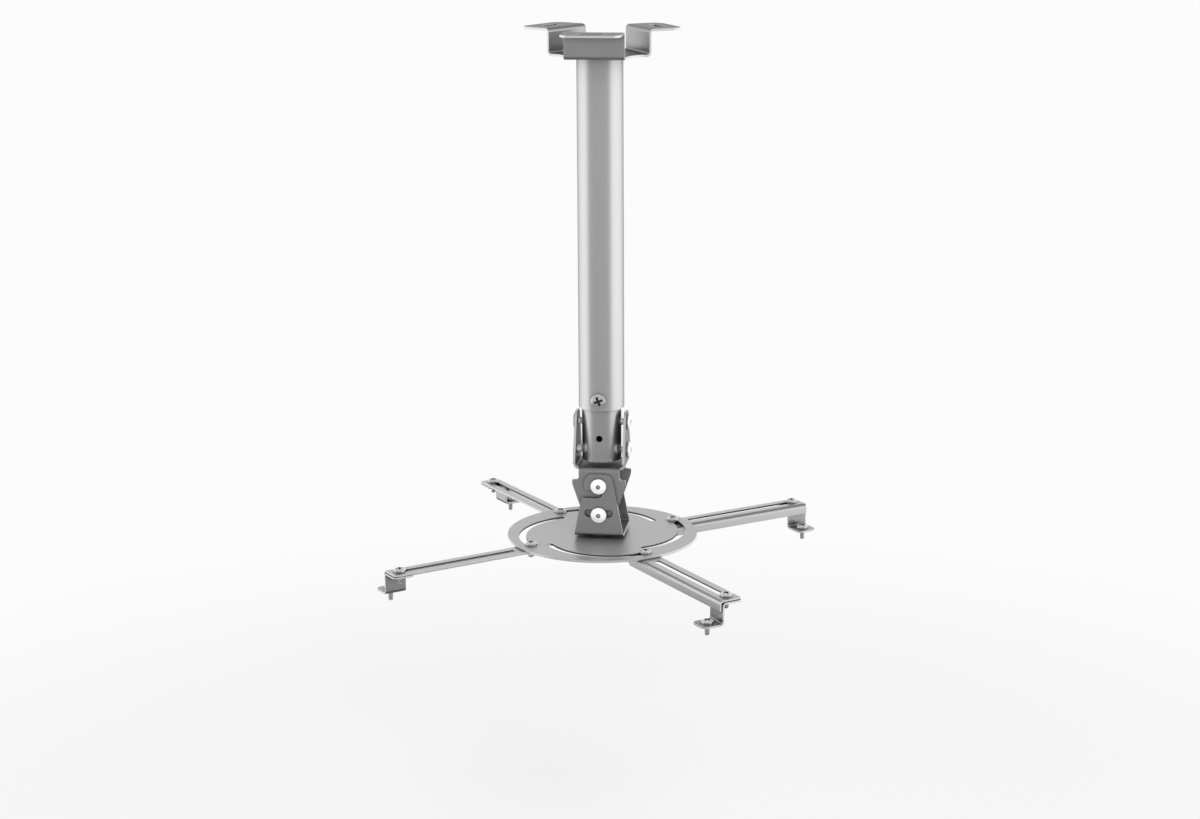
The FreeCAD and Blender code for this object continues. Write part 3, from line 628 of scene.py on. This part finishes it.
def ridges(name, radius, pitch, length):
    """The ridge on a shank whose seat is at z = 0 and whose end is at -length."""
    deep = DEPTH_TO_PITCH * pitch * SUNK
    tall = ROOT_TO_PITCH * pitch
    foot = (radius - deep / 2, 0, tall / 2 - length)
    piece = start_piece(name, bpy.ops.mesh.primitive_plane_add, stretch=(deep, tall, 1), size=1,
                        location=foot, rotation=(math.pi / 2, 0, 0))
    edit_vertices_where(piece, lambda co: co.x > foot[0])
    bpy.ops.transform.resize(value=(1, 1, CREST_SHARE), center_override=foot)
    bpy.ops.mesh.select_all(action="SELECT")
    bpy.ops.mesh.delete(type="ONLY_FACE")
    leave_edit()
    apply_modifier(piece, "SCREW", angle=2 * math.pi, screw_offset=pitch, axis="Z",
                   iterations=int((length - tall) / pitch), steps=THREAD_STEPS,
                   render_steps=THREAD_STEPS)
    edit_all(piece)
    bpy.ops.mesh.fill_holes(sides=4)
    bpy.ops.mesh.select_all(action="SELECT")
    bpy.ops.mesh.normals_make_consistent(inside=False)
    leave_edit()
    take_up(piece)
    bpy.ops.object.shade_smooth_by_angle(angle=SCREW_SHARP)
    return piece


# %% [markdown]
# ## Cutting a driver recess
# A cross recess is two wedges that narrow towards the bottom, a socket is a six-sided prism.
# Each is made as a solid and taken out of the head by a Boolean. The cutter's walls carry the
# second material slot, the painted shade of a recess, and the faces that it leaves in the head
# keep it. A socket's flat floor is greyer than the head, in painted shade, but not as dark as its
# walls.

# %% Cutters for the two recesses
OVER_THE_TOP = 1 * MM
WEDGE_FOOT_SHARE = 0.6


def cross_cutter(top, deep, wide, reach):
    """Two crossed wedges, joined into one solid."""
    middle = (0, 0, top - deep / 2 + OVER_THE_TOP / 2)
    wings = []
    for turn in (0, math.pi / 2):
        wing = start_piece("wing", bpy.ops.mesh.primitive_cube_add,
                           stretch=(2 * reach, wide, deep + OVER_THE_TOP), size=1,
                           location=middle, rotation=(0, 0, turn))
        edit_vertices_where(wing, lambda co: co.z < middle[2])
        narrow = (WEDGE_FOOT_SHARE, 1, 1) if turn == 0 else (1, WEDGE_FOOT_SHARE, 1)
        bpy.ops.transform.resize(value=narrow, center_override=middle)
        leave_edit()
        wings.append(wing)
    apply_modifier(wings[0], "BOOLEAN", operation="UNION", object=wings[1], solver="EXACT")
    bpy.data.objects.remove(wings[1])
    return wings[0]


def socket_cutter(top, deep, across):
    return start_piece("socket", bpy.ops.mesh.primitive_cylinder_add, vertices=6,
                       radius=across / math.sqrt(3), depth=deep + OVER_THE_TOP,
                       location=(0, 0, top - deep / 2 + OVER_THE_TOP / 2))


# %% [markdown]
# ## Taking the recess out
# The Boolean works best with the exact solver, because the cutter's walls meet the dome in a
# curve. The head and the cutter get the same three material slots first.

# %% Take a recess out of a head
# Material slots: the head's finish, the painted shade of a recess, and the grey steel of painted shade.
HEAD, RECESS_SHADE, SHADED_STEEL = 0, 1, 2


def cut(head, cutter, finish, floor_slot):
    for piece in (head, cutter):
        for material in (finish, recess_shade_zinc, shaded_steel_zinc):
            piece.data.materials.append(material)
    for face in cutter.data.polygons:
        face.material_index = RECESS_SHADE if abs(face.normal.z) < 0.5 else floor_slot
    apply_modifier(head, "BOOLEAN", operation="DIFFERENCE", object=cutter, solver="EXACT")
    bpy.data.objects.remove(cutter)


# %% [markdown]
# ## Assembling a screw
# A screw is its head, a core and a ridge round the core. The head and the core get a fine
# bevel on their sharp edges, and the three meshes are joined into one.

# %% Bevel a turned part, make a core, and join the parts
SCREW_EDGE = 0.1 * MM
TIP_BEVEL = 0.6 * MM
TIP_SHARE = 0.7
CORE_IN_HEAD = 0.2 * MM


def soften(piece, edge=SCREW_EDGE):
    apply_modifier(piece, "BEVEL", width=edge, segments=2, limit_method="ANGLE",
                   angle_limit=SCREW_SHARP, use_clamp_overlap=True)
    take_up(piece)
    bpy.ops.object.shade_smooth_by_angle(angle=SCREW_SHARP)


def join(parts, name):
    bpy.ops.object.select_all(action="DESELECT")
    for part in parts:
        part.select_set(True)
    bpy.context.view_layer.objects.active = parts[0]
    bpy.ops.object.join()
    parts[0].name = name
    return parts[0]


def with_shank(name, head, finish, radius, pitch, length):
    """Join a finished head with a threaded shank of a given length below its seat."""
    core_radius = radius - DEPTH_TO_PITCH * pitch
    core = turned(name + "_core", [(0, CORE_IN_HEAD), (core_radius, CORE_IN_HEAD),
                                   (core_radius, TIP_BEVEL - length),
                                   (core_radius * TIP_SHARE, -length), (0, -length)], SHANK_STEPS)
    soften(core)
    ridge = ridges(name + "_ridge", radius, pitch, length)
    for part in (core, ridge):
        part.data.materials.append(finish)
    return join([head, core, ridge], name)


# %% [markdown]
# ## Pan screws
# A pan head has a short straight rim under a shallow dome, and a cross recess. It is a turned
# outline with the cross cut out. Its side mirrors what lies round it, and is given the greyer
# steel colour, which is painted shade.

# %% Pan screw
RECESS_DEEP = 0.6
RECESS_WIDE = 0.34
RECESS_REACH = 0.7
RIM_SHARE = 0.58


def side_faces_in_shaded_steel(head, height):
    """Below a height the head mirrors what lies round it, and gets a greyer steel colour as painted shade.
    """
    for face in head.data.polygons:
        if face.center.z < height and face.material_index == HEAD:
            face.material_index = SHADED_STEEL


def pan_screw(name, finish, radius, pitch, length, head_radius, head_height, reach=RECESS_REACH):
    """A pan head, whose recess is a share of its height and radius, on a shank."""
    rim = head_height * RIM_SHARE
    edge = 0.15 * MM
    profile = [(0, 0), (head_radius - edge, 0), (head_radius, edge), (head_radius, rim)]
    profile += dome_profile(head_radius, 0, head_height, rim)[1:]
    head = turned(name + "_head", profile, HEAD_STEPS)
    # Painted shade: the cross recess gets the near-black finish, and the side the grey steel.
    cut(head, cross_cutter(head_height, RECESS_DEEP * head_height, RECESS_WIDE * head_radius,
                           reach * head_radius), finish, RECESS_SHADE)
    soften(head)
    side_faces_in_shaded_steel(head, rim)
    return with_shank(name, head, finish, radius, pitch, length)


# %% [markdown]
# ## Button screws
# The large screws have a collar, a domed button and a hexagon socket. Collar and dome are one
# turned outline, and the socket is cut to a flat floor.

# %% Button screw with its collar
BUTTON_HEIGHT = 3.3 * MM
COLLAR_RADIUS = 6.9 * MM
COLLAR_HEIGHT = 0.9 * MM
BUTTON_RADIUS = 6.5 * MM
BUTTON_RIM = 0.6 * MM
SOCKET_ACROSS = 3.6 * MM
SOCKET_DEEP = 2.3 * MM


def button_screw(name, length):
    bevel = 0.3 * MM
    profile = [(0, 0), (COLLAR_RADIUS - bevel, 0), (COLLAR_RADIUS, bevel),
               (COLLAR_RADIUS, COLLAR_HEIGHT - bevel / 2), (COLLAR_RADIUS - bevel / 2, COLLAR_HEIGHT),
               (BUTTON_RADIUS, COLLAR_HEIGHT)]
    profile += dome_profile(BUTTON_RADIUS, COLLAR_HEIGHT, BUTTON_HEIGHT, BUTTON_RIM)
    head = turned(name + "_head", profile, HEAD_STEPS)
    # Painted shade: the socket's floor, the collar and the rim get the grey steel.
    cut(head, socket_cutter(BUTTON_HEIGHT, SOCKET_DEEP, SOCKET_ACROSS), white_zinc, SHADED_STEEL)
    soften(head)
    side_faces_in_shaded_steel(head, COLLAR_HEIGHT + BUTTON_RIM + START_OFF)
    return with_shank(name, head, white_zinc, radius=3 * MM, pitch=1 * MM, length=length)


# %% [markdown]
# ## Putting the screws in
# A finished screw is duplicated for each place where the CAD model has that kind. The copy is
# turned about its own axis, because nobody drives two screws to the same angle, then leant
# towards the way its head points, and moved to its seat.

# %% Put a copy of a screw where a CAD screw is
def stand_in(master, node, seat, outward, spin_deg):
    take_up(master)
    bpy.ops.object.duplicate()
    piece = bpy.context.object
    piece.name = node + "_threaded"
    piece.rotation_mode = "QUATERNION"
    lean = UP.rotation_difference(outward)
    piece.rotation_quaternion = lean @ Quaternion(UP, math.radians(spin_deg))
    piece.location = seat
    place_into_mesh(piece)
    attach(piece, body_of_node[node])
    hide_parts(node)
    return piece


def head_up_place(node, head_height):
    """The seat of a screw that stands upright, and its length below the seat."""
    low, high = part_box(node)
    seat = Vector(((low.x + high.x) / 2, (low.y + high.y) / 2, high.z - head_height))
    return seat, seat.z - low.z


# %% [markdown]
# ## The small screws
# The disc's screws are M5, those at the arms' ends and in the feet are M4, and all stand upright
# under the same pan head. One of each kind is modelled, copied to the four corners and removed.

# %% Screws of the disc and the feet
PAN_HEIGHT = 3.3 * MM
PAN_RADIUS = 5 * MM
SMALL_SCREWS = (("disc_screw_", 2.5 * MM, 0.8 * MM, (12, 71, 40, 85)),
                ("end_screw_", 2 * MM, 0.7 * MM, (33, 8, 64, 20)),
                ("device_screw_", 2 * MM, 0.7 * MM, (55, 27, 80, 3)))

for kind, radius, pitch, spins in SMALL_SCREWS:
    seat, length = head_up_place(kind + CORNERS[0], PAN_HEIGHT)
    master = pan_screw(kind + "master", zinc, radius, pitch, length, PAN_RADIUS, PAN_HEIGHT)
    for corner, spin_deg in zip(CORNERS, spins):
        seat, length = head_up_place(kind + corner, PAN_HEIGHT)
        stand_in(master, kind + corner, seat, UP, spin_deg)
    bpy.data.objects.remove(master)
    print(kind, "length below the seat, mm:", round(length / MM, 2))

# %% [markdown]
# ## The lock screw
# One larger pan screw stands in the pole's front and locks the inner tube at its length. It is
# larger and its cross reaches further out, so it gets a master of its own.

# %% The lock screw in the pole's front
LOCK_HEIGHT = 3.6 * MM
LOCK_RADIUS = 6 * MM
LOCK_REACH = 0.82
FRONT = Vector((0, -1, 0))
low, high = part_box("lock_screw")
lock_seat = Vector((0, low.y + LOCK_HEIGHT, (low.z + high.z) / 2))
master = pan_screw("lock_master", lock_zinc, radius=3 * MM, pitch=0.8 * MM,
                   length=high.y - lock_seat.y, head_radius=LOCK_RADIUS,
                   head_height=LOCK_HEIGHT, reach=LOCK_REACH)
stand_in(master, "lock_screw", lock_seat, FRONT, 20)
bpy.data.objects.remove(master)
print("lock screw, length below the seat, mm:", round((high.y - lock_seat.y) / MM, 2))

# %% [markdown]
# ## The large screws of the yoke
# Four button screws point to the sides and carry the tilt, four point to the front and the rear
# and carry the roll. The two families differ in length, so each has its own master.

# %% The large screws of the yoke, four to the sides and four front and rear
RIGHT = Vector((1, 0, 0))
LARGE_SCREWS = ((("tilt_pivot_screw_right", RIGHT, 10), ("tilt_lock_screw_right", RIGHT, 35),
                 ("tilt_pivot_screw_left", -RIGHT, 22), ("tilt_lock_screw_left", -RIGHT, 3)),
                (("hook_screw_front", FRONT, 30), ("roll_lock_screw_front", FRONT, 30),
                 ("hook_screw_rear", -FRONT, 14), ("roll_lock_screw_rear", -FRONT, 41)))

for family in LARGE_SCREWS:
    master = None
    for node, outward, spin_deg in family:
        low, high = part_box(node)
        half = abs((high - low).dot(outward)) / 2
        if master is None:
            master = button_screw("button_master", 2 * half - BUTTON_HEIGHT)
        stand_in(master, node, (low + high) / 2 + outward * (half - BUTTON_HEIGHT), outward, spin_deg)
    bpy.data.objects.remove(master)
    print("button screws, length below the seat, mm:", round((2 * half - BUTTON_HEIGHT) / MM, 2))

# %% [markdown]
# ## The swivel bolt
# Its head sits inside the U bracket and its threaded end hangs below the nut. A six-sided
# cylinder is the head, and what it has in common with a turned solid rounds its corners.

# %% Model the swivel bolt
BOLT_HEAD = 5.3 * MM
BOLT_ACROSS = 13 * MM
BOLT_FACE_RADIUS = 6.2 * MM
CHAMFER_FROM = 2.3 * MM
PAST_THE_CORNERS = 12 * MM
low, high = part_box("swivel_bolt")
bolt_seat = Vector((0, 0, high.z - BOLT_HEAD))

bolt_head = start_piece("bolt_head", bpy.ops.mesh.primitive_cylinder_add, vertices=6,
                        radius=BOLT_ACROSS / math.sqrt(3), depth=BOLT_HEAD,
                        location=(0, 0, BOLT_HEAD / 2), rotation=(0, 0, math.radians(30)))
rounding = turned("rounding", [(0, -1 * MM), (PAST_THE_CORNERS, -1 * MM), (PAST_THE_CORNERS, CHAMFER_FROM),
                               (BOLT_FACE_RADIUS, BOLT_HEAD), (0, BOLT_HEAD)], HEAD_STEPS)
apply_modifier(bolt_head, "BOOLEAN", operation="INTERSECT", object=rounding, solver="EXACT")
bpy.data.objects.remove(rounding)
soften(bolt_head, 0.15 * MM)
bolt_head.data.materials.append(zinc)
bolt = with_shank("bolt_master", bolt_head, zinc, radius=4 * MM, pitch=1.25 * MM,
                  length=bolt_seat.z - low.z)
stand_in(bolt, "swivel_bolt", bolt_seat, UP, 0)
bpy.data.objects.remove(bolt)
print("swivel bolt, length below the seat, mm:", round((bolt_seat.z - low.z) / MM, 2))

# %% [markdown]
# ## Camera
# The camera stands in front, a little to the right and above the pole's middle, and looks
# down by 14 degrees through a lens of about 74 mm. These values came from matching the
# model's corners to the photograph, and so did the third of a degree of roll.

# %% Place the camera
CAMERA_AT = Vector((0.265727, -1.977062, 0.187768))
CAMERA_WAY = Vector((-0.12981, 0.96078, -0.24505))
CAMERA_ROLL = math.radians(-0.312)
LENS = 73.874
SENSOR = 36

camera_data = bpy.data.cameras.new("camera")
camera_data.sensor_width = SENSOR
camera_data.lens = LENS
camera = bpy.data.objects.new("camera", camera_data)
camera.rotation_mode = "QUATERNION"
camera.location = CAMERA_AT
camera.rotation_quaternion = CAMERA_WAY.to_track_quat("-Z", "Y") @ Quaternion((0, 0, 1), CAMERA_ROLL)
bpy.context.scene.collection.objects.link(camera)
bpy.context.scene.camera = camera
print("camera at", [round(value, 3) for value in CAMERA_AT], "lens", LENS)

# %% [markdown]
# ## Surfaces that thin out
# Nothing of the studio should show an edge. So the floor and the cards are round sheets whose
# material turns clear towards the rim, by the distance from the middle of the piece.

# %% A material that turns clear towards its rim
def fading_surface(name, inner, outer):
    """Gives the material, its fade, and the mix whose last socket takes the surface's shader."""
    material = bpy.data.materials.new(name)
    material.use_nodes = True
    tree = material.node_tree
    tree.nodes.remove(tree.nodes["Principled BSDF"])
    place = add(tree, "ShaderNodeTexCoord")
    reach = add(tree, "ShaderNodeVectorMath", operation="LENGTH")
    fade = add(tree, "ShaderNodeMapRange",
               {"From Min": inner, "From Max": outer, "To Min": 1.0, "To Max": 0.0},
               interpolation_type="SMOOTHSTEP")
    clear = add(tree, "ShaderNodeBsdfTransparent")
    mix = add(tree, "ShaderNodeMixShader")
    link(place, "Object", reach, 0)
    link(reach, "Value", fade, "Value")
    link(fade, "Result", mix, "Fac")
    link(clear, "BSDF", mix, 1)
    link(mix, "Shader", tree.nodes["Material Output"], "Surface")
    return material, fade, mix


def round_sheet(name, radius, vertices, material):
    sheet = start_piece(name, bpy.ops.mesh.primitive_circle_add, vertices=vertices, radius=radius,
                        fill_type="NGON")
    sheet.data.materials.append(material)
    return sheet


# %% [markdown]
# ## Floor
# The mount hangs, so the floor lies below the longest reach of the drawn-out pole. It is a
# pale round mat that takes a soft shadow. Light Path tells what kind of ray has met it: the
# camera and the metal's mirror images see it nearly as pale as the surround, with only a part
# of the shadow, while it goes on lighting the mount like any matt floor. It is clear from
# below, so that the mount's underside can be looked at from there.

# %% Lay the floor
FLOOR_DROP = 0.74
FLOOR_GREY = 0.94
FLOOR_SHARE_LIT = 0.2
SURROUND = 0.97

material, fade, mix = fading_surface("pale_floor", inner=0.45, outer=1.1)
tree = material.node_tree
side = add(tree, "ShaderNodeNewGeometry")
from_above = add(tree, "ShaderNodeMath", {0: 1.0}, operation="SUBTRACT")
matt = add(tree, "ShaderNodeBsdfDiffuse", {"Color": grey(FLOOR_GREY)})
glow = add(tree, "ShaderNodeEmission", {"Color": grey(SURROUND)})
ray = add(tree, "ShaderNodeLightPath")
seen_or_mirrored = add(tree, "ShaderNodeMath", operation="MAXIMUM")
share = add(tree, "ShaderNodeMath", {1: 1 - FLOOR_SHARE_LIT}, operation="MULTIPLY")
both = add(tree, "ShaderNodeMixShader")
link(side, "Backfacing", from_above, 1)
link(from_above, "Value", fade, "To Min")
link(ray, "Is Camera Ray", seen_or_mirrored, 0)
link(ray, "Is Glossy Ray", seen_or_mirrored, 1)
link(seen_or_mirrored, "Value", share, 0)
link(share, "Value", both, "Fac")
link(matt, "BSDF", both, 1)
link(glow, "Emission", both, 2)
link(both, "Shader", mix, 2)
floor = round_sheet("floor", radius=1.15, vertices=96, material=material)
floor.location.z = -FLOOR_DROP
print("floor", FLOOR_DROP, "m below the ceiling")

# %% [markdown]
# ## A white surround that is dark overhead
# The mount hangs in an even white room. Overhead the room is dim, as it is behind studio
# lights, and that gives the bends of the sheet their dark upper sides. The camera itself sees
# the same pale surround everywhere.

# %% Surround
OVERHEAD = 0.25
EVEN_UP_TO, DIM_FROM = 0.25, 0.65

world = bpy.data.worlds.new("surround")
bpy.context.scene.world = world
world.use_nodes = True
tree = world.node_tree
background = tree.nodes["Background"]
background.inputs["Color"].default_value = grey(1)
direction = add(tree, "ShaderNodeTexCoord")
height = add(tree, "ShaderNodeSeparateXYZ")
dimmed = add(tree, "ShaderNodeMapRange",
             {"From Min": EVEN_UP_TO, "From Max": DIM_FROM, "To Min": SURROUND, "To Max": OVERHEAD},
             interpolation_type="SMOOTHSTEP")
ray = add(tree, "ShaderNodeLightPath")
strength = add(tree, "ShaderNodeMix", {"B": SURROUND}, data_type="FLOAT")
link(direction, "Generated", height, "Vector")
link(height, "Z", dimmed, "Value")
link(ray, "Is Camera Ray", strength, "Factor")
link(dimmed, "Result", strength, "A")
link(strength, "Result", background, "Strength")
print("surround", SURROUND, "and overhead", OVERHEAD)

# %% [markdown]
# ## Two cards that show only in the metal
# Curved metal mirrors what stands round it. A dark card behind the camera, out of the
# picture, makes the darker stripe down the pole between two pale bands, and turns the flat
# front faces a deeper grey. A darker one just above the floor, below the longest reach of the
# pole, keeps the feet and the lower faces deep. Both show only in mirror images, and take no
# light away.

# %% Cards
ABOVE_FLOOR = 0.01


def mirrored_card(name, value, radius, inner, outer, at, tilt):
    material, fade, mix = fading_surface(name + "_grey", inner, outer)
    dim = add(material.node_tree, "ShaderNodeEmission", {"Color": grey(value)})
    link(dim, "Emission", mix, 2)
    card = round_sheet(name, radius, 64, material)
    card.location = at
    card.rotation_euler.x = tilt
    card.visible_camera = False
    card.visible_diffuse = False
    card.visible_shadow = False
    print(name, "of grey", value, "at", [round(coordinate, 2) for coordinate in at])


mirrored_card("dark_card", value=0.38, radius=6.6, inner=3.0, outer=5.9, at=(0, -2.6, -0.6),
              tilt=math.pi / 2)
mirrored_card("low_card", value=0.12, radius=1.1, inner=0.70, outer=1.05,
              at=(0, -0.08, ABOVE_FLOOR - FLOOR_DROP), tilt=0)

# %% [markdown]
# ## Soft lamps
# One broad lamp high in front makes the shadow on the floor and the shine on the screw heads.
# Two wide, weak ones at the sides lift the pole's pale bands, and a last one fills the front
# evenly. Only the lamps at the sides are mirrored.

# %% Lamps
def softbox(name, at, aim, width, height, power, mirrored):
    data = bpy.data.lights.new(name, "AREA")
    data.shape = "RECTANGLE"
    data.size = width
    data.size_y = height
    data.energy = power
    lamp = bpy.data.objects.new(name, data)
    lamp.visible_camera = False
    lamp.visible_glossy = mirrored
    lamp.location = at
    lamp.rotation_mode = "QUATERNION"
    lamp.rotation_quaternion = (Vector(aim) - Vector(at)).to_track_quat("-Z", "Y")
    bpy.context.scene.collection.objects.link(lamp)
    print(name, "of", power, "W at", at)


MIDDLE = (0, 0, -0.3)
softbox("softbox_high_front", (0.5, -1.3, 1.4), MIDDLE, width=0.9, height=0.9, power=26, mirrored=False)
for side in (-1, 1):
    softbox("softbox_side", (side * 2.1, 0.6, -0.3), (0, 0.6, -0.3), width=3.6, height=2.6, power=5,
            mirrored=True)
softbox("softbox_front_fill", (0.2, -2.2, 0.2), MIDDLE, width=2.4, height=2.0, power=12, mirrored=False)

# %% [markdown]
# ## View settings
# The plain view transform shows colours as they are written.

# %% Plain view
bpy.context.scene.view_settings.view_transform = "Standard"
